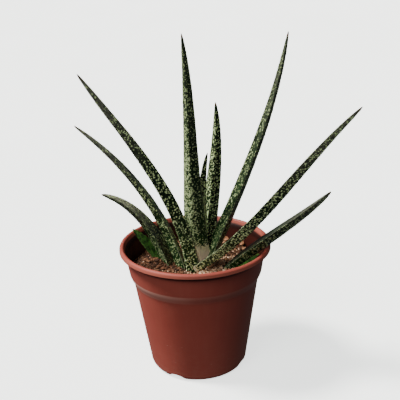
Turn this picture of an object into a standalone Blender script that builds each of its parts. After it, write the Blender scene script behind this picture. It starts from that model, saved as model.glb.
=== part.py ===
"""A warty long-leaved gasteria growing in a 12 cm nursery pot.

Lengths are in millimetres until a mesh is made, which is in metres. The origin is on the pot's
axis at the surface it stands on, +Z is up and -Y is the side that the plant's tallest leaf leans to.
"""
import math
import random
from collections import namedtuple

import bmesh
import bpy
from mathutils import Matrix, Vector

MM = 0.001
GAP = 0.3               # clearance between pieces that touch
SEED = 12

# Pot
RIM_RADIUS = 60.0       # a 12 cm pot, measured across the lip
POT_HEIGHT = 104.0
LIP_WIDTH = 3.6
LIP_HEIGHT = 4.2
COLLAR_TOP_RADIUS = 55.8
COLLAR_FOOT_RADIUS = 52.7
COLLAR_FOOT_Z = 81.5
LEDGE_RADIUS = 50.0
LEDGE_Z = 75.0
HEEL_RADIUS = 39.6
HEEL_Z = 6.0
HEEL_ROUND = 5.2        # radius of the rounded corner between wall and sole
SOLE_RADIUS = 35.0
WALL = 1.5
FLOOR = 2.0
POT_SEGMENTS = 64
SLOT_COUNT = 4
SLOT_TURN = -118.0      # bearing of the first drain slot, degrees
SLOT_WIDTH = 15.0
SLOT_HEIGHT = 4.6
SLOT_INNER_RADIUS = 29.0

# Soil
SOIL_Z = 84.8           # mean level of the surface
SOIL_MOUND = 1.7        # how much higher it is round the plant
HEAP = (-33.0, -4.0)    # middle of a heap of brown mix at the left
HEAP_REACH = (13.0, 10.0)
HEAP_HEIGHT = 7.5
SOIL_RINGS = 11
SOIL_SEGMENTS = 56
GRAIN = 0.7             # relief of the grit

# Plant
CROWN = (2.0, -7.0)     # where the main stem stands
STEM_RADIUS = 8.5
STEM_TOP_Z = 87.0
STEM_FOOT_Z = 62.0
OFFSET_CROWN = (26.5, -10.5)
OFFSET_STEM_RADIUS = 5.0
OFFSET_STEM_TOP_Z = 86.0
OFFSET_STEM_FOOT_Z = 72.0
LEAF_FOOT_Z = 84.0      # where the leaves' centre lines start
LEAF_SIDES = 12
RING_STEP = 5.0
WART = 0.45             # height of the raised spots, larger than life
WART_SHARE = 0.45       # share of the points that carry one
MARGIN = 0.8            # half thickness of a leaf's edge

# bearing: compass direction that the leaf leans to, from +X, in degrees
# leans: its angle from upright at the foot, half way and at the tip
# width, keel: its full width, and the depth from its edges down to the keel, at the widest
# flare: how much wider it is at the foot, as a share
# spread: share of the length over which it widens to its foot
# roll: turn about its own centre line, keel_side: where the keel runs, from edge (-1) to edge (1)
Leaf = namedtuple("Leaf", "name foot bearing length leans width keel flare spread roll keel_side")

# From the youngest, in the middle, to the oldest: each later leaf clasps the ones before it.
LEAVES = (
    Leaf("leaf_centre_small", (3.9, 0.0), 120, 99, (-17, -3.6, -24.6), 11.2, 5.5, 0.1, 0.35, 196, 0.1),
    Leaf("leaf_centre_short", (6.9, -1.0), 50, 131, (8.4, 12.2, -5.8), 13.7, 5.4, 0.1, 0.35, 212, -0.1),
    Leaf("leaf_centre_tall", (2.6, -5.8), -112, 186.4, (15, 0.9, 13.2), 13.6, 6.3, 0.75, 0.65, 4, 0.1),
    Leaf("leaf_right_tall", (6.8, -10.5), 10, 193.9, (24.3, 21.9, 9.5), 12.2, 7.6, 0.1, 0.2, 12, 0.1),
    Leaf("leaf_left_tall", (-3.1, -12.8), 199, 181.4, (4, 28.6, 32), 12.3, 8.3, -0.1, 0.5, 29, 0.1),
    Leaf("leaf_right_long", (-6.0, -13.0), -18, 188.0, (57.0, 39.1, 45.2), 11.3, 9.2, -0.6, 0.6, -8, 0.1),
    Leaf("leaf_left_long", (-10.1, -6.0), 172, 143.4, (13.7, 34.2, 53.6), 10.9, 6.5, 0.17, 0.38, 6, 0.1),
    Leaf("leaf_left_low", (-19.8, 1.4), 178, 83.4, (22.3, 35.8, 75.9), 12.8, 8.4, 0.89, 0.55, -14, 0.1),
    Leaf("leaf_left_seedling", (-21.2, 1.5), 184, 43.2, (49.2, 36.7, 43.7), 11.3, 3.2, 0.05, 0.35, -50, 0.0),
    Leaf("leaf_offset_long", (24.4, -9.7), -14, 105.1, (45.1, 51.2, 43.9), 13.5, 9.0, -0.35, 0.7, 0, 0.1),
    Leaf("leaf_offset_short", (31.6, -16.0), -18, 26.0, (46, 48, 36), 6.6, 2.8, 0.1, 0.35, 35, 0.0),
)


def clear_scene():
    for old in list(bpy.data.objects):
        bpy.data.objects.remove(old, do_unlink=True)


def material(name, colour, roughness):
    made = bpy.data.materials.new(name)
    made.use_nodes = True
    shader = made.node_tree.nodes["Principled BSDF"]
    shader.inputs["Base Color"].default_value = (*colour, 1.0)
    shader.inputs["Roughness"].default_value = roughness
    shader.inputs["Metallic"].default_value = 0.0
    return made


def mesh_object(name, points, faces, finish):
    """An object from points in millimetres, with its faces turned outwards."""
    mesh = bpy.data.meshes.new(name)
    mesh.from_pydata([Vector(p) * MM for p in points], [], faces)
    work = bmesh.new()
    work.from_mesh(mesh)
    bmesh.ops.recalc_face_normals(work, faces=work.faces)
    work.to_mesh(mesh)
    work.free()
    mesh.materials.append(finish)
    mesh.shade_smooth()
    mesh.set_sharp_from_angle(angle=math.radians(40))
    made = bpy.data.objects.new(name, mesh)
    bpy.context.scene.collection.objects.link(made)
    return made


def loft(rings, closed_ends=True):
    """Points and faces of a skin over rings of equal length, with a fan over each end."""
    count = len(rings[0])
    points = [p for ring in rings for p in ring]
    faces = []
    for row in range(len(rings) - 1):
        for i in range(count):
            j = (i + 1) % count
            a, b = row * count, (row + 1) * count
            faces.append((a + i, a + j, b + j, b + i))
    if closed_ends:
        for ring, start in ((rings[0], 0), (rings[-1], (len(rings) - 1) * count)):
            centre = sum((Vector(p) for p in ring), Vector()) / count
            points.append(centre)
            hub = len(points) - 1
            faces += [(start + i, start + (i + 1) % count, hub) for i in range(count)]
    return points, faces


def turned(name, profile, segments, finish):
    """A solid of revolution about Z from a closed profile of (radius, z) points."""
    rings = []
    for step in range(segments):
        turn = 2 * math.pi * step / segments
        rings.append([(r * math.cos(turn), r * math.sin(turn), z) for r, z in profile])
    rings.append(rings[0])
    points, faces = loft(rings, closed_ends=False)
    made = mesh_object(name, points, faces, finish)
    work = bmesh.new()
    work.from_mesh(made.data)
    bmesh.ops.remove_doubles(work, verts=work.verts, dist=0.00001)
    bmesh.ops.recalc_face_normals(work, faces=work.faces)
    work.to_mesh(made.data)
    work.free()
    return made


def arc(centre, radius, start, end, steps):
    """Points of an arc in the (radius, z) plane, angles in degrees from the +radius direction."""
    turns = [math.radians(start + (end - start) * i / steps) for i in range(steps + 1)]
    return [(centre[0] + radius * math.cos(t), centre[1] + radius * math.sin(t)) for t in turns]


def inner_radius(z):
    """Radius of the pot's inside at a height."""
    if z <= LEDGE_Z:
        share = (z - HEEL_Z) / (LEDGE_Z - HEEL_Z)
        return HEEL_RADIUS + share * (LEDGE_RADIUS - HEEL_RADIUS) - WALL
    if z <= COLLAR_FOOT_Z:
        share = (z - LEDGE_Z) / (COLLAR_FOOT_Z - LEDGE_Z)
        return LEDGE_RADIUS + share * (COLLAR_FOOT_RADIUS - LEDGE_RADIUS) - WALL
    share = (z - COLLAR_FOOT_Z) / (POT_HEIGHT - LIP_HEIGHT - COLLAR_FOOT_Z)
    return COLLAR_FOOT_RADIUS + share * (COLLAR_TOP_RADIUS - COLLAR_FOOT_RADIUS) - WALL


def cut(target, cutters, solver="EXACT"):
    """Cut each cutter out of the target and keep the largest piece that is left."""
    for cutter in cutters:
        step = target.modifiers.new("cut", "BOOLEAN")
        step.operation = "DIFFERENCE"
        step.solver = solver
        step.object = cutter
    bpy.context.view_layer.update()
    shown = target.evaluated_get(bpy.context.evaluated_depsgraph_get())
    shaped = bpy.data.meshes.new_from_object(shown)
    target.modifiers.clear()
    work = bmesh.new()
    work.from_mesh(shaped)
    bmesh.ops.remove_doubles(work, verts=work.verts, dist=0.00001)
    bmesh.ops.triangulate(work, faces=work.faces)
    bare = [edge for edge in work.edges if not edge.link_faces]
    bmesh.ops.delete(work, geom=bare, context="EDGES")
    keep_largest(work)
    work.to_mesh(shaped)
    work.free()
    target.data = shaped


def keep_largest(work):
    """Delete every loose scrap but the piece with the most volume."""
    unseen = set(work.verts)
    pieces = []
    while unseen:
        piece, frontier = set(), [unseen.pop()]
        while frontier:
            vert = frontier.pop()
            piece.add(vert)
            for edge in vert.link_edges:
                other = edge.other_vert(vert)
                if other in unseen:
                    unseen.discard(other)
                    frontier.append(other)
        pieces.append(piece)

    def volume(piece):
        faces = {face for vert in piece for face in vert.link_faces}
        return abs(sum(face.calc_center_median().dot(face.normal) * face.calc_area() for face in faces))

    pieces.sort(key=volume)
    scraps = [vert for piece in pieces[:-1] for vert in piece]
    bmesh.ops.delete(work, geom=scraps, context="VERTS")


def remove(objects):
    for old in objects:
        bpy.data.objects.remove(old, do_unlink=True)


def make_pot(plastic):
    lip_centre = (RIM_RADIUS - LIP_WIDTH / 2, POT_HEIGHT - LIP_WIDTH / 2)
    lip_foot_z = POT_HEIGHT - LIP_HEIGHT
    outside = [(0.0, 0.0), (SOLE_RADIUS, 0.0)]
    outside += arc((HEEL_RADIUS - HEEL_ROUND, HEEL_ROUND), HEEL_ROUND, -60, -5, 4)
    outside += [(LEDGE_RADIUS, LEDGE_Z), (COLLAR_FOOT_RADIUS, COLLAR_FOOT_Z)]
    outside += [(COLLAR_TOP_RADIUS, lip_foot_z), (RIM_RADIUS - 0.6, lip_foot_z)]
    outside += arc(lip_centre, LIP_WIDTH / 2, 0, 180, 6)
    inside = [(inner_radius(z), z) for z in (lip_foot_z, COLLAR_FOOT_Z, LEDGE_Z)]
    inside += [(inner_radius(HEEL_Z), HEEL_Z), (SOLE_RADIUS, FLOOR), (0.0, FLOOR)]
    pot = turned("pot", outside + inside, POT_SEGMENTS, plastic)
    slots = [make_slot(i, plastic) for i in range(SLOT_COUNT)]
    cut(pot, slots)
    remove(slots)
    return pot


def make_slot(index, plastic):
    """An arched bar that cuts a drain slot through the pot's bottom corner."""
    half, depth = SLOT_WIDTH / 2, SLOT_HEIGHT
    turns = [math.radians(a) for a in range(0, 181, 20)]
    arch = [(half * math.cos(t), depth * math.sin(t)) for t in turns]
    arch = [(half, -2.0)] + arch + [(-half, -2.0)]
    rings = [[(r, x, z) for x, z in arch] for r in (SLOT_INNER_RADIUS, HEEL_RADIUS + 8.0)]
    slot = mesh_object("slot_%d" % index, *loft(rings), plastic)
    bearing = math.radians(SLOT_TURN + index * 360 / SLOT_COUNT)
    slot.data.transform(Matrix.Rotation(bearing, 4, "Z"))
    return slot


def leaf_line(leaf, count):
    """Centre line of a leaf: (point, direction, share of the length) at even steps."""
    bearing = math.radians(leaf.bearing)
    foot, half, tip = leaf.leans
    at = Vector((*leaf.foot, LEAF_FOOT_Z))
    line = []
    fine = 4
    for step in range(count * fine + 1):
        share = step / (count * fine)
        lean = foot * (1 - share) * (1 - 2 * share) + half * 4 * share * (1 - share)
        lean = math.radians(lean + tip * share * (2 * share - 1))
        flat = math.sin(lean)
        along = Vector((flat * math.cos(bearing), flat * math.sin(bearing), math.cos(lean)))
        if step % fine == 0:
            line.append((at.copy(), along, share))
        at += along * leaf.length / (count * fine)
    return line


def leaf_section(leaf, share, sides):
    """A leaf's cross-section as (across, up) pairs: channelled above, keeled below."""
    broad = 1.3 * (1 - share) ** 0.6
    broad = broad / (1 + broad ** 8) ** 0.125
    deep = (1 - share) ** 0.45
    foot = 1 + leaf.flare * max(0.0, 1 - share / leaf.spread) ** 2
    half = leaf.width / 2 * broad * foot
    thick = leaf.keel * deep * min(1.0, foot)
    section = []
    for side in range(sides):
        turn = 2 * math.pi * side / sides
        across, up = math.cos(turn), math.sin(turn)
        height = MARGIN * deep * up
        if up > 0:
            height -= 0.12 * thick * (1 - across ** 2) ** 2
        else:
            reach = 1 - leaf.keel_side if across > leaf.keel_side else 1 + leaf.keel_side
            height -= thick * (1 - abs((across - leaf.keel_side) / reach) ** 1.4)
        section.append((half * across, height + 0.35 * thick))
    return section


def make_leaf(leaf, flesh, grow=0.0):
    """A leaf with raised spots, or a smooth copy that is larger by grow all round."""
    chance = random.Random("%s %d" % (leaf.name, SEED))
    count = max(5, round(leaf.length / RING_STEP))
    bearing = math.radians(leaf.bearing)
    level = Vector((-math.sin(bearing), math.cos(bearing), 0))
    rings = []
    for at, along, share in leaf_line(leaf, count)[:-1]:
        turn = Matrix.Rotation(math.radians(leaf.roll), 3, along)
        across = turn @ level
        up = along.cross(across)
        ring = []
        for x, y in leaf_section(leaf, share, LEAF_SIDES):
            out = Vector((x, y))
            raised = grow
            if not grow and 0 < share < 0.97 and chance.random() < WART_SHARE:
                raised = WART
            if out.length:
                out += out.normalized() * raised
            ring.append(at + across * out.x + up * out.y)
        rings.append(ring)
    points, faces = loft(rings)
    line = leaf_line(leaf, count)
    foot_hub, tip_hub = len(points) - 2, len(points) - 1
    points[foot_hub] -= line[0][1] * grow
    points[tip_hub] = line[-1][0] + line[-1][1] * grow
    return mesh_object(leaf.name, points, faces, flesh)


def make_stem(name, crown, radius, foot_z, top_z, finish, grow=0.0):
    """A short stem that is rounded above and tapers to a point in the soil."""
    height = top_z - foot_z
    rings = []
    for share, width in ((0.0, 0.35), (0.12, 0.6), (0.4, 0.9), (0.7, 1.0), (0.88, 0.85), (1.0, 0.45)):
        z = foot_z + share * height + (grow if share > 0.5 else -grow)
        size = radius * width + grow
        turns = [2 * math.pi * i / 16 for i in range(16)]
        rings.append([(crown[0] + size * math.cos(t), crown[1] + size * math.sin(t), z) for t in turns])
    return mesh_object(name, *loft(rings), finish)


def soil_height(x, y, chance):
    """Height of the soil's surface: higher round the plant, with a heap, and rough with grit."""
    off = math.hypot(x - CROWN[0], y - CROWN[1])
    mound = SOIL_MOUND * math.exp(-((off / 32) ** 2))
    away = ((x - HEAP[0]) / HEAP_REACH[0]) ** 2 + ((y - HEAP[1]) / HEAP_REACH[1]) ** 2
    heap = HEAP_HEIGHT * math.exp(-away)
    swell = 0.8 * math.sin(x * 0.11 + 1.0) * math.cos(y * 0.13)
    return SOIL_Z + mound + heap + swell + GRAIN * (chance.random() - 0.5) * 2


def make_soil(earth):
    chance = random.Random(SEED)
    edge = inner_radius(SOIL_Z) - GAP - 0.6
    turns = [2 * math.pi * i / SOIL_SEGMENTS for i in range(SOIL_SEGMENTS)]
    body = (
        (SOLE_RADIUS - GAP - 1.0, FLOOR + GAP),
        (inner_radius(HEEL_Z) - GAP - 0.4, HEEL_Z),
        (inner_radius(LEDGE_Z) - GAP - 0.3, LEDGE_Z),
        (edge - 1.2, SOIL_Z - 4),
    )
    rings = [[(r * math.cos(t), r * math.sin(t), z) for t in turns] for r, z in body]
    for ring in range(SOIL_RINGS, 0, -1):
        size = edge * ring / SOIL_RINGS
        twist = math.pi / SOIL_SEGMENTS * (ring % 2)
        spots = [(size * math.cos(t + twist), size * math.sin(t + twist)) for t in turns]
        sink = 1.5 if ring == SOIL_RINGS else 0
        rings.append([(x, y, soil_height(x, y, chance) - sink) for x, y in spots])
    return mesh_object("soil", *loft(rings), earth)


def build():
    clear_scene()
    plastic = material("terracotta_plastic", (0.26, 0.07, 0.045), 0.45)
    earth = material("gritty_soil", (0.2, 0.11, 0.06), 0.95)
    flesh = material("leaf_green", (0.03, 0.06, 0.02), 0.5)
    pith = material("stem_pith", (0.35, 0.3, 0.16), 0.7)

    make_pot(plastic)
    soil = make_soil(earth)
    stems = (
        ("stem", CROWN, STEM_RADIUS, STEM_FOOT_Z, STEM_TOP_Z),
        ("offset_stem", OFFSET_CROWN, OFFSET_STEM_RADIUS, OFFSET_STEM_FOOT_Z, OFFSET_STEM_TOP_Z),
    )
    cutters = []
    for stem in stems:
        make_stem(*stem, pith)
        cutters.append(make_stem(*stem, pith, grow=GAP))
    for leaf in LEAVES:
        made = make_leaf(leaf, flesh)
        cut(made, cutters, "MANIFOLD")
        cutters.append(make_leaf(leaf, flesh, grow=WART + GAP))
    cut(soil, cutters, "MANIFOLD")
    remove(cutters)


build()
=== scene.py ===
"""Looks of the potted gasteria: speckled leaves, gritty soil, moulded pot, light and camera.

Lengths are in millimetres until a mesh is made, which is in metres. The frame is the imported
model's: origin on the pot's axis at the surface it stands on, +Z up, the camera looks along +Y.
"""
import math
import random
from collections import namedtuple
from itertools import product

import bmesh
import bpy
import numpy as np
from mathutils import Matrix, Vector


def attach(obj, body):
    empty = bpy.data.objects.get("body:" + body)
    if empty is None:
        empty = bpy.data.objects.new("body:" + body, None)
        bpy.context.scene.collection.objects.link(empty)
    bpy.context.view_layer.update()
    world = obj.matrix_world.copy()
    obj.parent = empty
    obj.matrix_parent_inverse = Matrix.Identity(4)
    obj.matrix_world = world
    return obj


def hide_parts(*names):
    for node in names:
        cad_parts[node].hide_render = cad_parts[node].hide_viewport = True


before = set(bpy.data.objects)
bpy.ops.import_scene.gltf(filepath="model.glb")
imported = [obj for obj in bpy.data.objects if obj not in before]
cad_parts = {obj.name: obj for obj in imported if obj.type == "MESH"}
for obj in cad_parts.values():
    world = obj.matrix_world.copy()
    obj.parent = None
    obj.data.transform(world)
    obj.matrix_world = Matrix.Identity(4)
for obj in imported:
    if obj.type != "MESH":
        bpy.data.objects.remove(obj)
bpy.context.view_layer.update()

MM = 0.001
SEED = 12

# Pot, as in the model
RIM_RADIUS = 60.0
POT_HEIGHT = 104.0
LIP_WIDTH = 3.6
LIP_HEIGHT = 4.2
LIP_FOOT_Z = POT_HEIGHT - LIP_HEIGHT
COLLAR_TOP_RADIUS = 55.8
COLLAR_FOOT_RADIUS = 52.7
COLLAR_FOOT_Z = 81.5
LEDGE_RADIUS = 50.0
LEDGE_Z = 75.0
HEEL_RADIUS = 39.6
HEEL_Z = 6.0
HEEL_ROUND = 5.2
SOLE_RADIUS = 35.0
WALL = 1.5
FLOOR = 2.0
POT_SEGMENTS = 288
PROFILE_STEP = 4.0      # longest straight run of the pot's outline
RISE = 9.0              # times a height in metres: its place on the pot's ramps, 1 at 111 mm
SLOT_COUNT = 4
SLOT_TURN = -118.0
SLOT_WIDTH = 15.0
SLOT_HEIGHT = 4.6
SLOT_INNER_RADIUS = 29.0
SLOT_CUT_Z = -2.0       # the cut starts under the pot

# Soil, as in the model
SOIL_Z = 84.8
SOIL_MOUND = 1.7
HEAP = (-33.0, -4.0)
HEAP_REACH = (13.0, 10.0)
HEAP_HEIGHT = 7.5
CROWN = (2.0, -7.0)
GAP = 0.3
SOIL_SEGMENTS = 300
SOIL_RINGS = 90
LUMP_SPACING = 3.2
LUMP_HEIGHT = 1.5
CRUMB_SPACING = 2.4
CRUMB_HEIGHT = 1.1
CRUMB_SINK = 0.9        # how far the crumbs' feet lie under the smooth surface
EDGE_DROP = 1.2         # how far the soil sinks where it meets the pot
GRAIN_SHAPES = 14

# Leaves, as in the model
LEAF_FOOT_Z = 84.0
MARGIN = 0.8
SKIN_STEP = 0.42        # spacing of the skin's points
SPOT_HEIGHT = 0.22

Leaf = namedtuple("Leaf", "name foot bearing length leans width keel flare spread roll keel_side")
LEAVES = (
    Leaf("leaf_centre_small", (3.9, 0.0), 120, 99, (-17, -3.6, -24.6), 11.2, 5.5, 0.1, 0.35, 196, 0.1),
    Leaf("leaf_centre_short", (6.9, -1.0), 50, 131, (8.4, 12.2, -5.8), 13.7, 5.4, 0.1, 0.35, 212, -0.1),
    Leaf("leaf_centre_tall", (2.6, -5.8), -112, 186.4, (15, 0.9, 13.2), 13.6, 6.3, 0.75, 0.65, 4, 0.1),
    Leaf("leaf_right_tall", (6.8, -10.5), 10, 193.9, (24.3, 21.9, 9.5), 12.2, 7.6, 0.1, 0.2, 12, 0.1),
    Leaf("leaf_left_tall", (-3.1, -12.8), 199, 181.4, (4, 28.6, 32), 12.3, 8.3, -0.1, 0.5, 29, 0.1),
    Leaf("leaf_right_long", (-6.0, -13.0), -18, 188.0, (57.0, 39.1, 45.2), 11.3, 9.2, -0.6, 0.6, -8, 0.1),
    Leaf("leaf_left_long", (-10.1, -6.0), 172, 143.4, (13.7, 34.2, 53.6), 10.9, 6.5, 0.17, 0.38, 6, 0.1),
    Leaf("leaf_left_low", (-19.8, 1.4), 178, 83.4, (22.3, 35.8, 75.9), 12.8, 8.4, 0.89, 0.55, -14, 0.1),
    Leaf("leaf_left_seedling", (-21.2, 1.5), 184, 43.2, (49.2, 36.7, 43.7), 11.3, 3.2, 0.05, 0.35, -50, 0.0),
    Leaf("leaf_offset_long", (24.4, -9.7), -14, 105.1, (45.1, 51.2, 43.9), 13.5, 9.0, -0.35, 0.7, 0, 0.1),
    Leaf("leaf_offset_short", (31.6, -16.0), -18, 26.0, (46, 48, 36), 6.6, 2.8, 0.1, 0.35, 35, 0.0),
)

# cell: spacing of the white spots; spots: how many of the cells hold one
# merge: how far the spots run together on the left flank, making it light: partly the leaf's own pattern,
# partly painted light on the flank facing the key lamp
# pale_foot: length of the bleached foot, in mm; smooth_top: how far the spots thin out above
# bloom: how grey the upper face is, partly the skin's own grey and partly painted sheen; worn: how
# grey-brown the outer half is
# tone: brightness of the spots, partly the leaf's own and partly painted light on leaves that lie in shade;
# young: 1 for the bright green blades
Dress = namedtuple("Dress", "cell spots merge pale_foot smooth_top bloom worn tone young")
DRESS = {
    "leaf_centre_small": Dress(1.50, 0.90, 1.5, 0, 0.0, 0.05, 0.0, 1.65, 0),
    "leaf_centre_short": Dress(1.50, 0.94, 0.3, 6, 0.1, 0.05, 0.0, 1.60, 0),
    "leaf_centre_tall": Dress(1.40, 0.90, 0.6, 31, 0.2, 0.05, 0.1, 0.95, 0),
    "leaf_right_tall": Dress(1.50, 0.68, 0.0, 12, 0.1, 0.03, 0.2, 0.85, 0),
    "leaf_left_tall": Dress(1.65, 0.88, 0.1, 0, 0.1, 0.20, 0.6, 1.60, 0),
    "leaf_right_long": Dress(1.40, 0.84, 0.1, 15, 0.7, 0.30, 0.5, 1.45, 0),
    "leaf_left_long": Dress(1.50, 0.82, 0.0, 0, 0.2, 0.12, 0.6, 1.10, 0),
    "leaf_left_low": Dress(1.30, 0.82, 0.0, 0, 0.1, 0.60, 0.1, 1.00, 0),
    "leaf_left_seedling": Dress(1.50, 0.70, 0.0, 0, 0.0, 0.05, 0.0, 1.00, 1),
    "leaf_offset_long": Dress(1.40, 0.82, 0.1, 0, 0.85, 0.22, 0.4, 1.00, 0),
    "leaf_offset_short": Dress(1.60, 0.50, 0.0, 0, 0.3, 0.05, 0.0, 1.00, 1),
}


# Small helpers for shader nodes

def add(tree, kind, settings=None, **sockets):
    """A node with its settings, and its sockets set to values or linked to other sockets."""
    made = tree.nodes.new(kind)
    for key, value in (settings or {}).items():
        setattr(made, key, value)
    for key, value in sockets.items():
        plug(tree, value, made.inputs[key.replace("_", " ")])
    return made


def plug(tree, value, socket):
    """Link a socket to another one, or set it to a value."""
    if isinstance(value, bpy.types.NodeSocket):
        tree.links.new(value, socket)
    else:
        socket.default_value = value


def mixed(tree, factor, first, second, blend="MIX"):
    """Colour output of a mix of two colours."""
    made = tree.nodes.new("ShaderNodeMix")
    made.data_type = "RGBA"
    made.blend_type = blend
    for value, index in ((factor, 0), (first, 6), (second, 7)):
        plug(tree, value, made.inputs[index])
    return made.outputs[2]


def maths(tree, operation, *values):
    """Result of a math node on one to three numbers or sockets."""
    made = tree.nodes.new("ShaderNodeMath")
    made.operation = operation
    for value, socket in zip(values, made.inputs):
        plug(tree, value, socket)
    return made.outputs[0]


def ramp(tree, value, *stops):
    """Colour ramp output; each stop is (position, grey) or (position, (r, g, b))."""
    made = tree.nodes.new("ShaderNodeValToRGB")
    points = made.color_ramp.elements
    while len(points) < len(stops):
        points.new(0.5)
    for point, (place, colour) in zip(points, stops):
        point.position = place
        point.color = (*colour, 1) if isinstance(colour, tuple) else (colour, colour, colour, 1)
    plug(tree, value, made.inputs[0])
    return made.outputs[0]


def attribute(tree, name):
    return add(tree, "ShaderNodeAttribute", {"attribute_name": name}).outputs["Fac"]


def noise(tree, place, scale, detail=4.0, roughness=0.55, distortion=0.0):
    made = add(tree, "ShaderNodeTexNoise", Vector=place, Scale=scale, Detail=detail,
               Roughness=roughness, Distortion=distortion)
    return made.outputs["Fac"]


def stretched(tree, place, scale):
    return add(tree, "ShaderNodeMapping", Vector=place, Scale=scale).outputs["Vector"]


def new_material(name):
    """A new material with its tree, its shader and the place that its patterns lie in, in metres."""
    made = bpy.data.materials.new(name)
    made.use_nodes = True
    tree = made.node_tree
    shader = tree.nodes["Principled BSDF"]
    place = tree.nodes.new("ShaderNodeTexCoord").outputs["Object"]
    return made, tree, shader, place


def bump(tree, height, strength, distance, normal=None):
    made = add(tree, "ShaderNodeBump", Height=height, Strength=strength, Distance=distance)
    if normal is not None:
        tree.links.new(normal, made.inputs["Normal"])
    return made.outputs["Normal"]


# Materials

def leaf_material():
    """Waxy dark green skin with raised white spots, a bleached foot and a dry tip."""
    made, tree, shader, place = new_material("leaf_skin")
    spot, pale, grey = attribute(tree, "spot"), attribute(tree, "pale"), attribute(tree, "grey")
    tip, foot, edge = attribute(tree, "tip"), attribute(tree, "foot"), attribute(tree, "edge")
    cloud = noise(tree, place, 90.0)
    grain = noise(tree, place, 900.0, 3.0)

    flesh = ramp(tree, cloud, (0.3, (0.001, 0.006, 0.001)), (0.7, (0.004, 0.016, 0.003)))
    greener = ramp(tree, cloud, (0.3, (0.003, 0.017, 0.003)), (0.7, (0.010, 0.042, 0.008)))
    flesh = mixed(tree, foot, flesh, greener)
    # Grey upper face: partly the skin's own colour, partly painted sheen
    bloom = ramp(tree, cloud, (0.3, (0.16, 0.165, 0.115)), (0.7, (0.25, 0.24, 0.185)))
    flesh = mixed(tree, grey, flesh, bloom)
    white = ramp(tree, grain, (0.3, (0.24, 0.32, 0.130)), (0.75, (0.51, 0.60, 0.33)))
    cream = ramp(tree, cloud, (0.3, (0.68, 0.50, 0.34)), (0.7, (0.85, 0.66, 0.50)))
    light = mixed(tree, pale, white, cream)
    # Spots brightened by each leaf's tone: partly painted light on leaves in shade
    light = mixed(tree, 1.0, light, attribute(tree, "tone"), "MULTIPLY")
    mask = ramp(tree, maths(tree, "MULTIPLY_ADD", pale, 0.60, spot), (0.22, 0.0), (0.40, 1.0))
    colour = mixed(tree, mask, flesh, light)
    colour = mixed(tree, maths(tree, "MULTIPLY", edge, 0.55), colour, (0.42, 0.44, 0.30, 1))
    colour = mixed(tree, tip, colour, (0.10, 0.045, 0.022, 1))
    plug(tree, colour, shader.inputs["Base Color"])
    plug(tree, maths(tree, "MULTIPLY_ADD", mask, 0.22, 0.40), shader.inputs["Roughness"])
    plug(tree, bump(tree, grain, 0.35, 0.0002), shader.inputs["Normal"])
    shader.inputs["Specular IOR Level"].default_value = 0.22
    shader.inputs["Subsurface Weight"].default_value = 0.03
    shader.inputs["Subsurface Radius"].default_value = (0.0012, 0.002, 0.0006)
    return made


def young_leaf_material():
    """Fresh green blade with faint lighter spots."""
    made, tree, shader, place = new_material("young_leaf_skin")
    spot, tip, edge = attribute(tree, "spot"), attribute(tree, "tip"), attribute(tree, "edge")
    cloud = noise(tree, place, 420.0)
    grain = noise(tree, place, 900.0, 3.0)
    flesh = ramp(tree, cloud, (0.4, (0.006, 0.028, 0.004)), (0.62, (0.045, 0.150, 0.020)))
    colour = mixed(tree, maths(tree, "MULTIPLY", spot, 0.55), flesh, (0.16, 0.32, 0.07, 1))
    colour = mixed(tree, maths(tree, "MULTIPLY", edge, 0.5), colour, (0.22, 0.36, 0.12, 1))
    colour = mixed(tree, tip, colour, (0.12, 0.06, 0.03, 1))
    plug(tree, colour, shader.inputs["Base Color"])
    shader.inputs["Roughness"].default_value = 0.38
    plug(tree, bump(tree, grain, 0.3, 0.0002), shader.inputs["Normal"])
    shader.inputs["Subsurface Weight"].default_value = 0.05
    shader.inputs["Subsurface Radius"].default_value = (0.001, 0.002, 0.0005)
    return made


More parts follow.
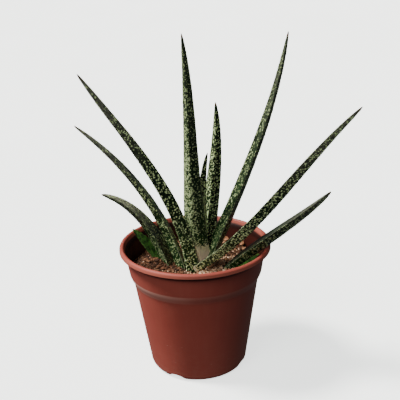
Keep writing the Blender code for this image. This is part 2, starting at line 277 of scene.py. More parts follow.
def pot_material():
    """Moulded terracotta-coloured plastic: satin, with streaks, dust and fine scuffs, painted highlights on
    the ledge and the lip, and painted shade under the lip and inside.
    """
    made, tree, shader, place = new_material("pot_plastic")
    broad = noise(tree, place, 18.0, 3.0)
    streak = noise(tree, stretched(tree, place, (1, 1, 0.12)), 160.0, 4.0)
    speck = noise(tree, place, 1400.0, 2.0)
    scuff = noise(tree, stretched(tree, place, (0.35, 0.35, 1.6)), 420.0, 6.0, 0.7, 0.6)
    spread = add(tree, "ShaderNodeSeparateXYZ", Vector=place).outputs
    rise = maths(tree, "MULTIPLY", spread["Z"], RISE)

    colour = ramp(tree, broad, (0.3, (0.266, 0.053, 0.039)), (0.7, (0.314, 0.069, 0.051)))
    wash = maths(tree, "MULTIPLY", ramp(tree, streak, (0.45, 0.0), (0.75, 1.0)), 0.16)
    colour = mixed(tree, wash, colour, (0.33, 0.10, 0.07, 1))
    low = ramp(tree, rise, (0.0, 0.55), (0.12, 0.12), (0.5, 0.0))
    dust = maths(tree, "MULTIPLY", low, ramp(tree, scuff, (0.4, 0.0), (0.7, 1.0)))
    colour = mixed(tree, maths(tree, "MULTIPLY", dust, 0.5), colour, (0.42, 0.26, 0.19, 1))
    mark = ramp(tree, scuff, (0.68, 0.0), (0.74, 1.0))
    colour = mixed(tree, maths(tree, "MULTIPLY", mark, 0.55), colour, (0.56, 0.36, 0.30, 1))

    # Painted highlight on the ledge between collar and wall, brightest at the left, the side the key lamp
    # shines from
    ledge_highlight = ramp(tree, rise, (0.672, 0.0), (0.680, 0.35), (0.705, 0.55), (0.722, 1.0), (0.734, 0.9),
                 (0.740, 0.0))
    leftward = maths(tree, "MULTIPLY_ADD", spread["X"], -12.0, 0.3)
    ledge_highlight = maths(tree, "MULTIPLY", ledge_highlight, ramp(tree, leftward, (0.3, 0.10), (0.8, 0.62)))
    colour = mixed(tree, ledge_highlight, colour, (0.78, 0.45, 0.37, 1))
    # Painted highlight on the lip's outer side, and painted shade in the corner under the lip
    lip_highlight = ramp(tree, rise, (0.903, 0.0), (0.908, 0.42), (0.922, 0.25), (0.932, 0.0))
    colour = mixed(tree, lip_highlight, colour, (0.62, 0.20, 0.14, 1))
    # Painted shade: the wall under the lip and the lip's underside darkened almost to black
    under_lip_shade = ramp(tree, rise, (0.860, 0.0), (0.881, 0.93), (0.902, 0.97), (0.905, 0.0))
    colour = mixed(tree, under_lip_shade, colour, (0.020, 0.003, 0.002, 1))
    # Painted shade: the pot's inside darkened almost to black
    inside_shade = maths(tree, "MULTIPLY", attribute(tree, "inside"), 0.92)
    colour = mixed(tree, inside_shade, colour, (0.014, 0.003, 0.002, 1))
    plug(tree, colour, shader.inputs["Base Color"])
    plug(tree, maths(tree, "MULTIPLY_ADD", broad, 0.22, 0.34), shader.inputs["Roughness"])
    shader.inputs["Specular IOR Level"].default_value = 0.18
    skin = bump(tree, speck, 0.10, 0.0001)
    plug(tree, bump(tree, scuff, 0.12, 0.0002, skin), shader.inputs["Normal"])
    return made


def soil_material():
    """The moist dark mix between the grains."""
    made, tree, shader, place = new_material("soil_mix")
    cloud = noise(tree, place, 60.0)
    grain = noise(tree, place, 700.0, 5.0, 0.7)
    spread = add(tree, "ShaderNodeSeparateXYZ", Vector=place).outputs
    # Tan at the right front, brown elsewhere: partly the mix's own colours, partly painted shade behind the
    # plant
    right = ramp(tree, maths(tree, "MULTIPLY_ADD", spread["X"], 14.0, 0.58), (0.42, 0.0), (0.62, 1.0))
    front = ramp(tree, maths(tree, "MULTIPLY", spread["Y"], 10.0), (0.02, 1.0), (0.18, 0.0))
    brown = ramp(tree, grain, (0.3, (0.018, 0.008, 0.004)), (0.7, (0.115, 0.048, 0.022)))
    tan = ramp(tree, grain, (0.3, (0.060, 0.030, 0.014)), (0.7, (0.330, 0.190, 0.105)))
    colour = mixed(tree, maths(tree, "MULTIPLY", right, front), brown, tan)
    colour = mixed(tree, maths(tree, "MULTIPLY", cloud, 0.35), colour, (0.03, 0.014, 0.008, 1))
    plug(tree, colour, shader.inputs["Base Color"])
    shader.inputs["Roughness"].default_value = 0.95
    shader.inputs["Specular IOR Level"].default_value = 0.2
    plug(tree, bump(tree, grain, 0.8, 0.0008), shader.inputs["Normal"])
    return made


def grain_material(name, *tints):
    """Loose grains: each grain has its own tint, with a fine mottle."""
    made, tree, shader, place = new_material(name)
    tint = attribute(tree, "tint")
    grain = noise(tree, place, 1500.0, 4.0, 0.6)
    stops = [(i / (len(tints) - 1), colour) for i, colour in enumerate(tints)]
    colour = ramp(tree, tint, *stops)
    shade = ramp(tree, grain, (0.3, 0.55), (0.7, 1.15))
    colour = mixed(tree, 1.0, colour, shade, "MULTIPLY")
    plug(tree, colour, shader.inputs["Base Color"])
    shader.inputs["Roughness"].default_value = 0.88
    shader.inputs["Specular IOR Level"].default_value = 0.3
    plug(tree, bump(tree, grain, 0.5, 0.0003), shader.inputs["Normal"])
    return made


def flake_material():
    """Papery dead leaf."""
    made, tree, shader, place = new_material("dry_leaf")
    vein = noise(tree, stretched(tree, place, (1, 1, 5)), 300.0, 5.0)
    colour = ramp(tree, vein, (0.3, (0.13, 0.045, 0.014)), (0.55, (0.27, 0.11, 0.04)),
                  (0.8, (0.36, 0.21, 0.09)))
    plug(tree, colour, shader.inputs["Base Color"])
    shader.inputs["Roughness"].default_value = 0.75
    plug(tree, bump(tree, vein, 0.6, 0.0004), shader.inputs["Normal"])
    return made


def stem_material():
    """Dry husk of old leaf feet."""
    made, tree, shader, place = new_material("stem_husk")
    fibre = noise(tree, stretched(tree, place, (1, 1, 0.2)), 500.0, 5.0)
    colour = ramp(tree, fibre, (0.3, (0.22, 0.13, 0.07)), (0.7, (0.48, 0.38, 0.22)))
    plug(tree, colour, shader.inputs["Base Color"])
    shader.inputs["Roughness"].default_value = 0.8
    plug(tree, bump(tree, fibre, 0.5, 0.0004), shader.inputs["Normal"])
    return made


def floor_material():
    """Pale and bright by itself, so that the backdrop is even."""
    made, tree, shader, place = new_material("pale_floor")
    cloud = noise(tree, place, 3.0, 2.0)
    colour = ramp(tree, cloud, (0.3, (0.80, 0.83, 0.81)), (0.7, (0.83, 0.855, 0.84)))
    plug(tree, colour, shader.inputs["Base Color"])
    plug(tree, colour, shader.inputs["Emission Color"])
    shader.inputs["Emission Strength"].default_value = 2.2
    shader.inputs["Roughness"].default_value = 0.9
    return made


# Meshes

def piece_from(name, points, faces, finish, smooth=True, layers=None):
    """A piece from points in millimetres, with one float layer of points for each name."""
    mesh = bpy.data.meshes.new(name)
    mesh.from_pydata((np.asarray(points, dtype=float) * MM).tolist(), [], faces)
    for layer, values in (layers or {}).items():
        made = mesh.attributes.new(layer, "FLOAT", "POINT")
        made.data.foreach_set("value", np.asarray(values, dtype=np.float32))
    mesh.materials.append(finish)
    if smooth:
        mesh.shade_smooth()
    piece = bpy.data.objects.new(name, mesh)
    bpy.context.scene.collection.objects.link(piece)
    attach(piece, "root")
    return piece


def grid_faces(rows, count):
    """Quads over rows of count points; each row closes on itself."""
    faces = []
    for row in range(rows - 1):
        a, b = row * count, (row + 1) * count
        for i in range(count):
            j = (i + 1) % count
            faces.append((a + i, a + j, b + j, b + i))
    return faces


def hashed(cells, salt):
    """A fixed pseudo-random number from 0 to 1 for each integer cell."""
    mix = (cells[..., 0] * 73856093) ^ (cells[..., 1] * 19349663) ^ (cells[..., 2] * 83492791)
    mix = (mix + salt * 2654435761) & 0xFFFFFFFF
    mix = ((mix ^ (mix >> 16)) * 0x45D9F3B) & 0xFFFFFFFF
    mix = ((mix ^ (mix >> 16)) * 0x45D9F3B) & 0xFFFFFFFF
    mix = mix ^ (mix >> 16)
    return (mix & 0xFFFFFF) / float(0xFFFFFF)


def beads(places, cell, share, salt):
    """How deep each place lies in a scattered bead: 1 at a bead's middle, 0 outside them all."""
    home = np.floor(places / cell).astype(np.int64)
    depth = np.zeros(len(places))
    for shift in product((-1, 0, 1), repeat=3):
        near = home + np.array(shift)
        spread = np.stack([hashed(near, salt + k) for k in range(3)], axis=-1)
        centre = (near + 0.15 + 0.7 * spread) * cell
        radius = cell * (0.36 + 0.32 * hashed(near, salt + 3))
        there = hashed(near, salt + 4) < share
        away = np.sqrt(((places - centre) ** 2).sum(-1)) / radius
        depth = np.maximum(depth, np.where(there, 1 - away, 0))
    return depth


def soft_noise(places, cell, salt):
    """Smooth value noise from 0 to 1."""
    scaled = places / cell
    home = np.floor(scaled).astype(np.int64)
    part = scaled - home
    part = part * part * (3 - 2 * part)
    total = np.zeros(len(places))
    for corner in product((0, 1), repeat=3):
        weight = np.prod(np.where(np.array(corner) == 1, part, 1 - part), axis=-1)
        total += weight * hashed(home + np.array(corner), salt)
    return total


def smooth_step(low, high, value):
    """A soft step from 0 below low to 1 above high."""
    part = np.clip((value - low) / (high - low), 0, 1)
    return part * part * (3 - 2 * part)


def section(leaf, share, turn):
    """Cross-section of a leaf as arrays (across, up), for arrays of share and turn."""
    broad = 1.3 * (1 - share) ** 0.6
    broad = broad / (1 + broad ** 8) ** 0.125
    deep = (1 - share) ** 0.45
    foot = 1 + leaf.flare * np.maximum(0, 1 - share / leaf.spread) ** 2
    half = leaf.width / 2 * broad * foot
    thick = leaf.keel * deep * np.minimum(1, foot)
    across, up = np.cos(turn), np.sin(turn)
    channel = 0.12 * thick * (1 - across ** 2) ** 2
    reach = np.where(across > leaf.keel_side, 1 - leaf.keel_side, 1 + leaf.keel_side)
    keel = thick * (1 - np.abs((across - leaf.keel_side) / reach) ** 1.4)
    height = MARGIN * deep * up - np.where(up > 0, channel, keel)
    return half * across, height + 0.35 * thick


def even_turns(leaf):
    """Angles round the section that give evenly spaced points on its outline."""
    fine = np.linspace(0, 2 * np.pi, 721)
    x, y = section(leaf, np.full(fine.shape, 0.25), fine)
    run = np.concatenate([[0], np.cumsum(np.hypot(np.diff(x), np.diff(y)))])
    count = max(36, round(run[-1] / SKIN_STEP))
    return np.interp(np.arange(count) / count * run[-1], run, fine)


def leaf_axes(leaf, shares):
    """Centre line points and the directions along, across and up for each share of the length."""
    bearing = math.radians(leaf.bearing)
    foot, half, tip = leaf.leans

    def heading(share):
        """Direction of the centre line; its lean is given at the foot, half way and at the tip."""
        lean = foot * (1 - share) * (1 - 2 * share) + half * 4 * share * (1 - share)
        lean = np.radians(lean + tip * share * (2 * share - 1))
        flat = np.sin(lean)
        return np.stack([flat * math.cos(bearing), flat * math.sin(bearing), np.cos(lean)], -1)

    fine = 4
    steps = (np.arange(len(shares) * fine) + 0.5) / (len(shares) * fine)
    walked = np.cumsum(heading(steps), axis=0) * leaf.length / len(steps)
    walked = np.vstack([[0, 0, 0], walked[fine - 1::fine]])
    points = walked + np.array([*leaf.foot, LEAF_FOOT_Z])
    along = heading(shares)
    level = np.array([-math.sin(bearing), math.cos(bearing), 0.0])
    rise = np.cross(along, level)
    roll = math.radians(leaf.roll)
    across = math.cos(roll) * level + math.sin(roll) * rise
    return points, along, across, np.cross(along, across)


def leaf_layers(leaf, number, share, turn, x, y):
    """What a leaf's material reads at each point of its skin, and how far the skin is raised there."""
    dress = DRESS[leaf.name]
    # Each leaf lies in its own stretch of the noise
    local = np.stack([share * leaf.length + 500 * number, x, y], -1).reshape(-1, 3)
    warp = soft_noise(local, 3.1, 70) - 0.5
    fine = soft_noise(local, 1.2, 71) - 0.5
    warped = local + np.stack([warp * 1.2 + fine * 0.7, fine * 0.6 - warp * 0.8, warp - fine * 0.5], -1)
    depth = beads(warped * (1.12, 1.0, 1.0), dress.cell, dress.spots, 10 * number + 1)
    small = beads(warped, dress.cell * 0.65, dress.spots * 0.3, 10 * number + 6)
    depth = np.maximum(depth, 0.8 * small).reshape(share.shape)
    band = soft_noise(local * (1, 0.25, 0.25), 5.5, 90 + number).reshape(share.shape)

    # Where on the leaf a point lies, and the spots there
    top = smooth_step(0.05, 0.45, np.sin(turn))
    edge = np.exp(-((np.abs(np.cos(turn)) - 1) / 0.02) ** 2)
    outer = smooth_step(0.45, 0.9, share)
    thin = 1 - dress.smooth_top * top * smooth_step(0.02, 0.3, share)
    low = 1 - smooth_step(0.25, 0.6, share)
    # The spots run together into a light left flank: partly the leaf's own pattern, partly painted light
    left = smooth_step(-0.25, 0.25, leaf.keel_side + 0.3 * low - np.cos(turn))
    left *= 1 - 0.7 * outer
    spot = depth * 1.15 * thin * (0.72 + 0.56 * band) * (1 - 0.5 * dress.merge * (1 - left))
    spot = np.clip(spot + 0.24 * dress.merge * left, 0, 1)
    spot *= 1 - 0.45 * dress.worn * outer
    spot *= 1 - smooth_step(0.93, 0.99, share)
    swell = (soft_noise(local, 14.0, 40 + number) - 0.5).reshape(share.shape) * 0.5 * (1 - share)
    raised = SPOT_HEIGHT * smooth_step(0.08, 0.65, spot) * np.minimum(1, (1 - share) * 12)

    mottle = 0.45 + 0.75 * smooth_step(-0.3, 0.2, fine).reshape(share.shape)
    distance = share * leaf.length
    pale = 1 - smooth_step(0.35 * dress.pale_foot, max(dress.pale_foot, 1), distance + 5 * (band - 0.5))
    pale *= dress.pale_foot > 0
    layers = {
        "spot": spot,
        "pale": pale,
        "tone": np.full(share.shape, dress.tone),
        "grey": mottle * np.maximum(dress.bloom * top * smooth_step(0.3, 0.7, share), dress.worn * outer),
        "tip": smooth_step(0.972, 0.992, share),
        "foot": 1 - smooth_step(0.05, 0.45, share),
        "edge": edge * (0.35 + 0.65 * (1 - smooth_step(0.1, 0.3, share))),
    }
    return layers, raised + swell


def make_leaf(leaf, number, skins):
    """A leaf's skin with its spots raised, and the layers that its material reads."""
    dress = DRESS[leaf.name]
    rows = round(leaf.length / (SKIN_STEP * 1.1))
    shares = np.arange(rows) / rows
    turns = even_turns(leaf)
    points, along, across, up = leaf_axes(leaf, shares)
    share, turn = np.meshgrid(shares, turns, indexing="ij")
    x, y = section(leaf, share, turn)
    skin = points[:-1, None] + across[:, None] * x[..., None] + up[:, None] * y[..., None]

    tangent = np.roll(skin, -1, axis=1) - np.roll(skin, 1, axis=1)
    normal = np.cross(tangent, np.gradient(skin, axis=0))
    normal /= np.maximum(np.linalg.norm(normal, axis=-1, keepdims=True), 1e-9)
    layers, raised = leaf_layers(leaf, number, share, turn, x, y)
    skin = skin + normal * raised[..., None]

    foot_hub = skin[0].mean(axis=0)
    every = np.vstack([skin.reshape(-1, 3), foot_hub, points[-1]])
    count = len(turns)
    faces = grid_faces(rows, count)
    start, foot_index, tip_index = (rows - 1) * count, len(every) - 2, len(every) - 1
    faces += [((i + 1) % count, i, foot_index) for i in range(count)]
    faces += [(start + i, start + (i + 1) % count, tip_index) for i in range(count)]
    for layer, values in layers.items():
        flat = values.reshape(-1)
        layers[layer] = np.concatenate([flat, [flat[0], flat[-1]]])
    piece = piece_from(leaf.name + "_skin", every, faces, skins[dress.young], layers=layers)
    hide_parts(leaf.name)


def arc(centre, radius, start, end, steps):
    """Points on an arc from one angle to another, in degrees."""
    turns = [math.radians(start + (end - start) * i / steps) for i in range(steps + 1)]
    return [(centre[0] + radius * math.cos(t), centre[1] + radius * math.sin(t)) for t in turns]


def rounded(profile, radius, steps=4):
    """A profile with each inner corner rounded, where its sides are long enough."""
    made = [profile[0]]
    for before, corner, after in zip(profile, profile[1:], profile[2:]):
        a, b, c = (Vector(p) for p in (before, corner, after))
        reach = min(radius, (a - b).length * 0.45, (c - b).length * 0.45)
        start = b + (a - b).normalized() * reach
        end = b + (c - b).normalized() * reach
        for i in range(steps + 1):
            t = i / steps
            made.append(tuple(start * (1 - t) ** 2 + b * 2 * t * (1 - t) + end * t * t))
    return made + [profile[-1]]


def split_long(profile, longest):
    """A profile with points added along its long straight runs."""
    made = [profile[0]]
    for (r0, z0), (r1, z1) in zip(profile, profile[1:]):
        pieces = max(1, math.ceil(math.hypot(r1 - r0, z1 - z0) / longest))
        made += [(r0 + (r1 - r0) * i / pieces, z0 + (z1 - z0) * i / pieces) for i in range(1, pieces + 1)]
    return made


def inner_radius(z):
    """Radius of the pot's inside at a height."""
    heights = (HEEL_Z, LEDGE_Z, COLLAR_FOOT_Z, LIP_FOOT_Z)
    radii = (HEEL_RADIUS, LEDGE_RADIUS, COLLAR_FOOT_RADIUS, COLLAR_TOP_RADIUS)
    return float(np.interp(z, heights, radii)) - WALL


def make_pot(plastic):
    """The pot, turned from one outline that runs up its outside and down its inside."""
    lip_centre = (RIM_RADIUS - LIP_WIDTH / 2, POT_HEIGHT - LIP_WIDTH / 2)
    outside = [(SOLE_RADIUS - 1.5, 0.0)]
    outside += arc((HEEL_RADIUS - HEEL_ROUND, HEEL_ROUND), HEEL_ROUND, -75, -5, 10)
    outside += rounded([(LEDGE_RADIUS - 3, LEDGE_Z - 20), (LEDGE_RADIUS, LEDGE_Z),
                        (COLLAR_FOOT_RADIUS + 0.2, COLLAR_FOOT_Z - 0.3),
                        (COLLAR_TOP_RADIUS, LIP_FOOT_Z + 0.4)], 2.2)
    outside += rounded([(COLLAR_TOP_RADIUS, LIP_FOOT_Z + 0.4), (RIM_RADIUS - 0.7, LIP_FOOT_Z),
                        (RIM_RADIUS, LIP_FOOT_Z + 0.8)], 0.5)[1:]
    outside += arc(lip_centre, LIP_WIDTH / 2, 0, 180, 20)
    inside = rounded([(inner_radius(z), z) for z in (LIP_FOOT_Z - 1, COLLAR_FOOT_Z, LEDGE_Z, HEEL_Z)]
                     + [(SOLE_RADIUS, FLOOR), (SOLE_RADIUS - 4, FLOOR)], 1.5)
    profile = split_long(outside + inside, PROFILE_STEP)
    turns = 2 * np.pi * np.arange(POT_SEGMENTS) / POT_SEGMENTS
    points = [(r * math.cos(t), r * math.sin(t), z) for r, z in profile for t in turns]
    faces = grid_faces(len(profile), POT_SEGMENTS)
    for row, z in ((0, 0.0), (len(profile) - 1, FLOOR)):
        points.append((0.0, 0.0, z))
        hub, start = len(points) - 1, row * POT_SEGMENTS
        for i in range(POT_SEGMENTS):
            j = (i + 1) % POT_SEGMENTS
            faces.append((start + i, start + j, hub) if row else (start + j, start + i, hub))
    inside_from = len(split_long(outside, PROFILE_STEP)) * POT_SEGMENTS
    is_inside = [float(i >= inside_from) for i in range(len(points))]
    pot = piece_from("pot_shell", points, faces, plastic, layers={"inside": is_inside})
    cut_slots(pot)
    pot.data.set_sharp_from_angle(angle=math.radians(38))
    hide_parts("pot")


def cut_slots(pot):
    """Drain slots through the pot's bottom corner, each a low arch."""
    half = SLOT_WIDTH / 2
    arch = [(half * math.cos(math.radians(a)), SLOT_HEIGHT * math.sin(math.radians(a)))
            for a in range(0, 181, 6)]
    arch = [(half, SLOT_CUT_Z)] + arch + [(-half, SLOT_CUT_Z)]
    work = bmesh.new()
    for index in range(SLOT_COUNT):
        turn = Matrix.Rotation(math.radians(SLOT_TURN + index * 360 / SLOT_COUNT), 3, "Z")
        ends = []
        for reach in (SLOT_INNER_RADIUS, HEEL_RADIUS + 8):
            ends.append([work.verts.new(turn @ Vector((reach, x, z)) * MM) for x, z in arch])
        for i in range(len(arch)):
            j = (i + 1) % len(arch)
            work.faces.new((ends[0][i], ends[0][j], ends[1][j], ends[1][i]))
        work.faces.new(ends[0])
        work.faces.new(ends[1][::-1])
    bmesh.ops.recalc_face_normals(work, faces=work.faces)
    mesh = bpy.data.meshes.new("slots")
    work.to_mesh(mesh)
    work.free()
    cutter = bpy.data.objects.new("slots", mesh)
    bpy.context.scene.collection.objects.link(cutter)
    step = pot.modifiers.new("slots", "BOOLEAN")
    step.operation = "DIFFERENCE"
    step.solver = "EXACT"
    step.object = cutter
    bpy.context.view_layer.update()
    shown = pot.evaluated_get(bpy.context.evaluated_depsgraph_get())
    pot.data = bpy.data.meshes.new_from_object(shown)
    pot.modifiers.clear()
    bpy.data.objects.remove(cutter, do_unlink=True)


def soil_level(x, y):
    """Smooth height of the soil's surface, for arrays or numbers."""
    off = np.hypot(x - CROWN[0], y - CROWN[1])
    swell = 0.8 * np.sin(x * 0.11 + 1.0) * np.cos(y * 0.13)
    away = ((x - HEAP[0]) / HEAP_REACH[0]) ** 2 + ((y - HEAP[1]) / HEAP_REACH[1]) ** 2
    heap = HEAP_HEIGHT * np.exp(-away)
    return SOIL_Z + SOIL_MOUND * np.exp(-((off / 32) ** 2)) + heap + swell


def make_soil(earth):
    """The body of the potting mix, with a crumbly surface."""
    edge = inner_radius(SOIL_Z) - GAP
    turns = 2 * np.pi * np.arange(SOIL_SEGMENTS) / SOIL_SEGMENTS
    rings = []
    for r, z in ((SOLE_RADIUS - 1.5, FLOOR + GAP), (inner_radius(HEEL_Z) - 0.6, HEEL_Z + 0.5),
                 (inner_radius(LEDGE_Z) - 0.6, LEDGE_Z), (edge - 0.6, SOIL_Z - 3.5)):
        rings.append(np.stack([r * np.cos(turns), r * np.sin(turns), np.full(SOIL_SEGMENTS, z)], -1))
    for ring in range(SOIL_RINGS, 0, -1):
        r = edge * (ring / SOIL_RINGS) ** 0.8
        x, y = r * np.cos(turns), r * np.sin(turns)
        places = np.stack([x, y, np.zeros_like(x)], -1)
        rough = LUMP_HEIGHT * (soft_noise(places, LUMP_SPACING, 5) - 0.5)
        rough += CRUMB_HEIGHT * beads(places, CRUMB_SPACING, 0.8, 9)
        z = soil_level(x, y) + rough - CRUMB_SINK - (EDGE_DROP if ring == SOIL_RINGS else 0)
        rings.append(np.stack([x, y, z], -1))
    hubs = np.array([[0, 0, FLOOR + GAP], [0, 0, soil_level(0.0, 0.0) - 0.5]])
    points = np.vstack([*rings, hubs])
    faces = grid_faces(len(rings), SOIL_SEGMENTS)
    start, low, high = (len(rings) - 1) * SOIL_SEGMENTS, len(points) - 2, len(points) - 1
    for i in range(SOIL_SEGMENTS):
        j = (i + 1) % SOIL_SEGMENTS
        faces.append((j, i, low))
        faces.append((start + i, start + j, high))
    piece = piece_from("soil_body", points, faces, earth)
    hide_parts("soil")


def grain_shape(detail, chance):
    """A rough lump of radius 1 as (points, faces)."""
    work = bmesh.new()
    bmesh.ops.create_icosphere(work, subdivisions=detail, radius=1.0)
    squash = Vector((chance.uniform(0.8, 1.25), chance.uniform(0.7, 1.05), chance.uniform(0.55, 0.85)))
    points = []
    for vert in work.verts:
        p = vert.co * chance.uniform(0.78, 1.15)
        points.append((p.x * squash.x, p.y * squash.y, p.z * squash.z))
    faces = [tuple(v.index for v in face.verts) for face in work.faces]
    work.free()
    return np.array(points), np.array(faces)


def clear_of_leaves(x, y, size, feet):
    """Whether a grain at (x, y) stays off the leaves' feet."""
    return all(math.hypot(x - fx, y - fy) > reach + size for fx, fy, reach in feet)


def leaf_feet():
    """Circles on the soil where leaves come out of it: (x, y, radius)."""
    feet = []
    shares = np.arange(60) / 60
    for leaf in LEAVES:
        points = leaf_axes(leaf, shares)[0]
        low = points[points[:, 2] < soil_level(points[:, 0], points[:, 1]) + 3]
        feet += [(p[0], p[1], leaf.keel * 0.42) for p in low[::2]]
    return feet


def scatter(name, finish, count, sizes, zone, shapes, salt):
    """Loose grains on the soil joined in one piece; zone says how likely a grain is at (x, y)."""
    chance = random.Random(SEED + salt)
    feet = leaf_feet()
    edge = inner_radius(SOIL_Z) - 0.8
    points, faces, tints = [], [], []
    total = 0
    while len(points) < count:
        r, t = edge * math.sqrt(chance.random()), chance.uniform(0, 2 * math.pi)
        x, y = r * math.cos(t), r * math.sin(t)
        size = sizes[0] + (sizes[1] - sizes[0]) * chance.random() ** 2
        if chance.random() > zone(x, y) or r + size > edge or not clear_of_leaves(x, y, size * 0.3, feet):
            continue
        shape, sides = shapes[chance.randrange(len(shapes))]
        turn, tip = chance.uniform(0, 6.3), chance.uniform(-0.6, 0.6)
        spin = Matrix.Rotation(turn, 3, "Z") @ Matrix.Rotation(tip, 3, "X")
        z = soil_level(x, y) + size * chance.uniform(-0.25, 0.5)
        points.append(shape @ np.array(spin).T * size + (x, y, z))
        faces.append(sides + total)
        # Grains behind the plant get darker tints: painted shade
        tints.append(np.full(len(shape), chance.random() * (1 - 0.8 * behind(x, y))))
        total += len(shape)
    every = [tuple(face) for group in faces for face in group.tolist()]
    piece = piece_from(name, np.vstack(points), every, finish, False, {"tint": np.concatenate(tints)})


def right_side(x, y):
    """1 where the tan grit lies, 0 where the brown crumbs do; the grit thins out towards the back, partly
    the mix's own layout and partly painted shade behind the plant.
    """
    edge = x + 0.25 * y + 4 * math.sin(y * 0.3)
    return float(smooth_step(-14, -2, edge) * (1 - 0.9 * smooth_step(0, 16, y)))


def behind(x, y):
    """1 in the corner behind the plant, where the grains' tints are darkened as painted shade, 0 elsewhere.
    """
    return float(smooth_step(-5, 8, x) * smooth_step(0, 14, y) * (1 - smooth_step(22, 30, x)))


def make_grains():
    """Tan grit at the right and brown crumbs at the left, fine and coarse, and a little stray grit."""
    chance = random.Random(SEED)
    fine = [grain_shape(1, chance) for _ in range(GRAIN_SHAPES)]
    coarse = [grain_shape(2, chance) for _ in range(GRAIN_SHAPES)]
    tan = grain_material("tan_grit", (0.26, 0.125, 0.055), (0.50, 0.27, 0.15), (0.66, 0.43, 0.27),
                         (0.80, 0.60, 0.43))
    brown = grain_material("brown_crumbs", (0.018, 0.007, 0.003), (0.065, 0.025, 0.010),
                           (0.13, 0.050, 0.021), (0.25, 0.12, 0.060))
    scatter("grit_tan", tan, 1500, (0.6, 1.35), right_side, fine, 1)
    scatter("grit_tan_coarse", tan, 160, (1.2, 1.9), right_side, coarse, 2)
    scatter("crumbs_brown", brown, 3000, (0.5, 1.2), lambda x, y: 1 - 0.85 * right_side(x, y), fine, 3)
    scatter("crumbs_brown_coarse", brown, 220, (1.0, 1.8), lambda x, y: 1 - right_side(x, y), coarse, 4)
    scatter("grit_stray", tan, 260, (0.4, 0.85), lambda x, y: 0.6 * (1 - right_side(x, y)), fine, 5)


def make_flake(name, centre, turn, size, curl, finish):
    """A curled scrap of dead leaf, a thin sheet with two faces."""
    chance = random.Random(name)
    across, along, thick = 9, 15, 0.35
    count = across * along
    sheets = []
    for side in (0, 1):
        for i in range(along):
            for j in range(across):
                u, v = i / (along - 1) * 2 - 1, j / (across - 1) * 2 - 1
                wide = size[1] * (1 - abs(u) ** 1.7) ** 0.6 + 0.15
                ripple = 0.25 * math.sin(3.1 * u + 2 * v)
                sheets.append((size[0] * u, wide * v, curl * (v * v + 0.5 * u * u) + ripple + side * thick))
    wobble = [chance.uniform(-0.12, 0.12) for _ in range(count)]
    sheets = [(x, y, z + wobble[i % count]) for i, (x, y, z) in enumerate(sheets)]
    faces = []
    for i in range(along - 1):
        for j in range(across - 1):
            a = i * across + j
            b = a + across
            faces.append((a, b, b + 1, a + 1))
            faces.append((count + a, count + a + 1, count + b + 1, count + b))
    border = [i * across for i in range(along)] + [(along - 1) * across + j for j in range(1, across)]
    border += [i * across + across - 1 for i in range(along - 2, -1, -1)] + list(range(across - 2, 0, -1))
    for a, b in zip(border, border[1:] + border[:1]):
        faces.append((b, a, count + a, count + b))
    tipped, turned = (math.radians(angle) for angle in turn)
    lie = Matrix.Rotation(turned, 3, "Z") @ Matrix.Rotation(tipped, 3, "X")
    points = [tuple(lie @ Vector(p) + Vector(centre)) for p in sheets]
    piece = piece_from(name, points, faces, finish)


# Camera and light

CAMERA_PLACE = (5.2, -510.97, 325.88)
CAMERA_PITCH = 20.07    # degrees below level
CAMERA_ROLL = -1.94
CAMERA_LENS = 63.0
SKY_COLOUR = (0.86, 0.93, 0.92, 1)
SKY_STRENGTH = 0.14
# Rings of the floor, as radius and height in metres
BACKDROP = ((2.5, 0.0), (3.4, 0.05), (4.3, 0.3), (5.0, 0.8), (5.4, 1.5), (5.6, 2.6))
BACKDROP_SIDES = 48
# Each lamp: bearing, height and spread in degrees, power, colour
LAMPS = {
    "key": (176, 54, 14, 7.0, (1.0, 0.97, 0.93)),
    "fill": (236, 42, 30, 1.7, (1.0, 0.98, 0.95)),
}


def make_camera():
    """The camera that was fitted to the pot in the picture."""
    lens = bpy.data.cameras.new("camera")
    lens.lens = CAMERA_LENS
    lens.sensor_width = 36.0
    camera = bpy.data.objects.new("camera", lens)
    bpy.context.scene.collection.objects.link(camera)
    tilt = Matrix.Rotation(math.radians(90 - CAMERA_PITCH), 4, "X")
    roll = Matrix.Rotation(math.radians(CAMERA_ROLL), 4, "Z")
    camera.matrix_world = Matrix.Translation(Vector(CAMERA_PLACE) * MM) @ tilt @ roll
    bpy.context.scene.camera = camera


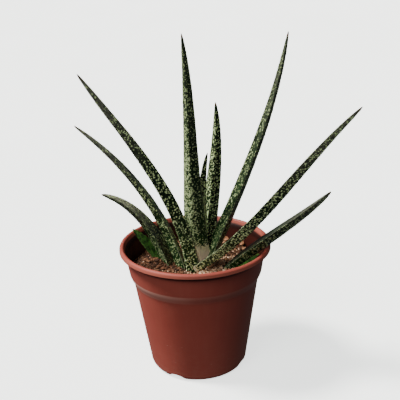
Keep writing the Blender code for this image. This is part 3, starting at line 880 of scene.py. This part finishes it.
def make_sun(name, bearing, height, spread, power, colour):
    """A distant lamp; it shines from a bearing, counted from +X towards +Y, and a height."""
    light = bpy.data.lights.new(name, "SUN")
    light.angle = math.radians(spread)
    light.energy = power
    light.color = colour
    made = bpy.data.objects.new(name, light)
    bpy.context.scene.collection.objects.link(made)
    tilt = Matrix.Rotation(math.radians(90 - height), 4, "Y")
    made.matrix_world = Matrix.Rotation(math.radians(bearing), 4, "Z") @ tilt


def make_floor():
    """A wide floor that curves up far away, so that no view shows a horizon."""
    count = BACKDROP_SIDES
    turns = [2 * math.pi * i / count for i in range(count)]
    points = [(0.0, 0.0, 0.0)]
    points += [(r * math.cos(t), r * math.sin(t), z) for r, z in BACKDROP for t in turns]
    faces = [(0, 1 + i, 1 + (i + 1) % count) for i in range(count)]
    faces += [(a + 1, d + 1, c + 1, b + 1) for a, b, c, d in grid_faces(len(BACKDROP), count)]
    floor = bpy.data.meshes.new("floor")
    floor.from_pydata(points, [], faces)
    floor.shade_smooth()
    floor.materials.append(floor_material())
    ground = bpy.data.objects.new("floor", floor)
    ground.visible_diffuse = False
    ground.visible_glossy = False
    bpy.context.scene.collection.objects.link(ground)


def make_studio():
    """The floor, the sky and the lamps."""
    make_floor()
    world = bpy.data.worlds.new("studio")
    world.use_nodes = True
    sky = world.node_tree.nodes["Background"]
    sky.inputs["Color"].default_value = SKY_COLOUR
    sky.inputs["Strength"].default_value = SKY_STRENGTH
    bpy.context.scene.world = world
    for name, settings in LAMPS.items():
        make_sun(name, *settings)


def make_scene():
    """Everything that the render shows."""
    make_camera()
    make_studio()
    make_pot(pot_material())
    make_soil(soil_material())
    make_grains()
    skins = (leaf_material(), young_leaf_material())
    for number, leaf in enumerate(LEAVES):
        make_leaf(leaf, number, skins)
    paper = flake_material()
    make_flake("dry_flake_long", (25.5, 43.0, 87.5), (50, -30), (4.2, 1.9), 0.9, paper)
    make_flake("dry_flake_short", (39.5, 32.0, 87.6), (55, -52), (3.2, 2.0), 1.0, paper)
    husk = stem_material()
    for node in ("stem", "offset_stem"):
        bpy.data.objects[node].material_slots[0].material = husk


make_scene()
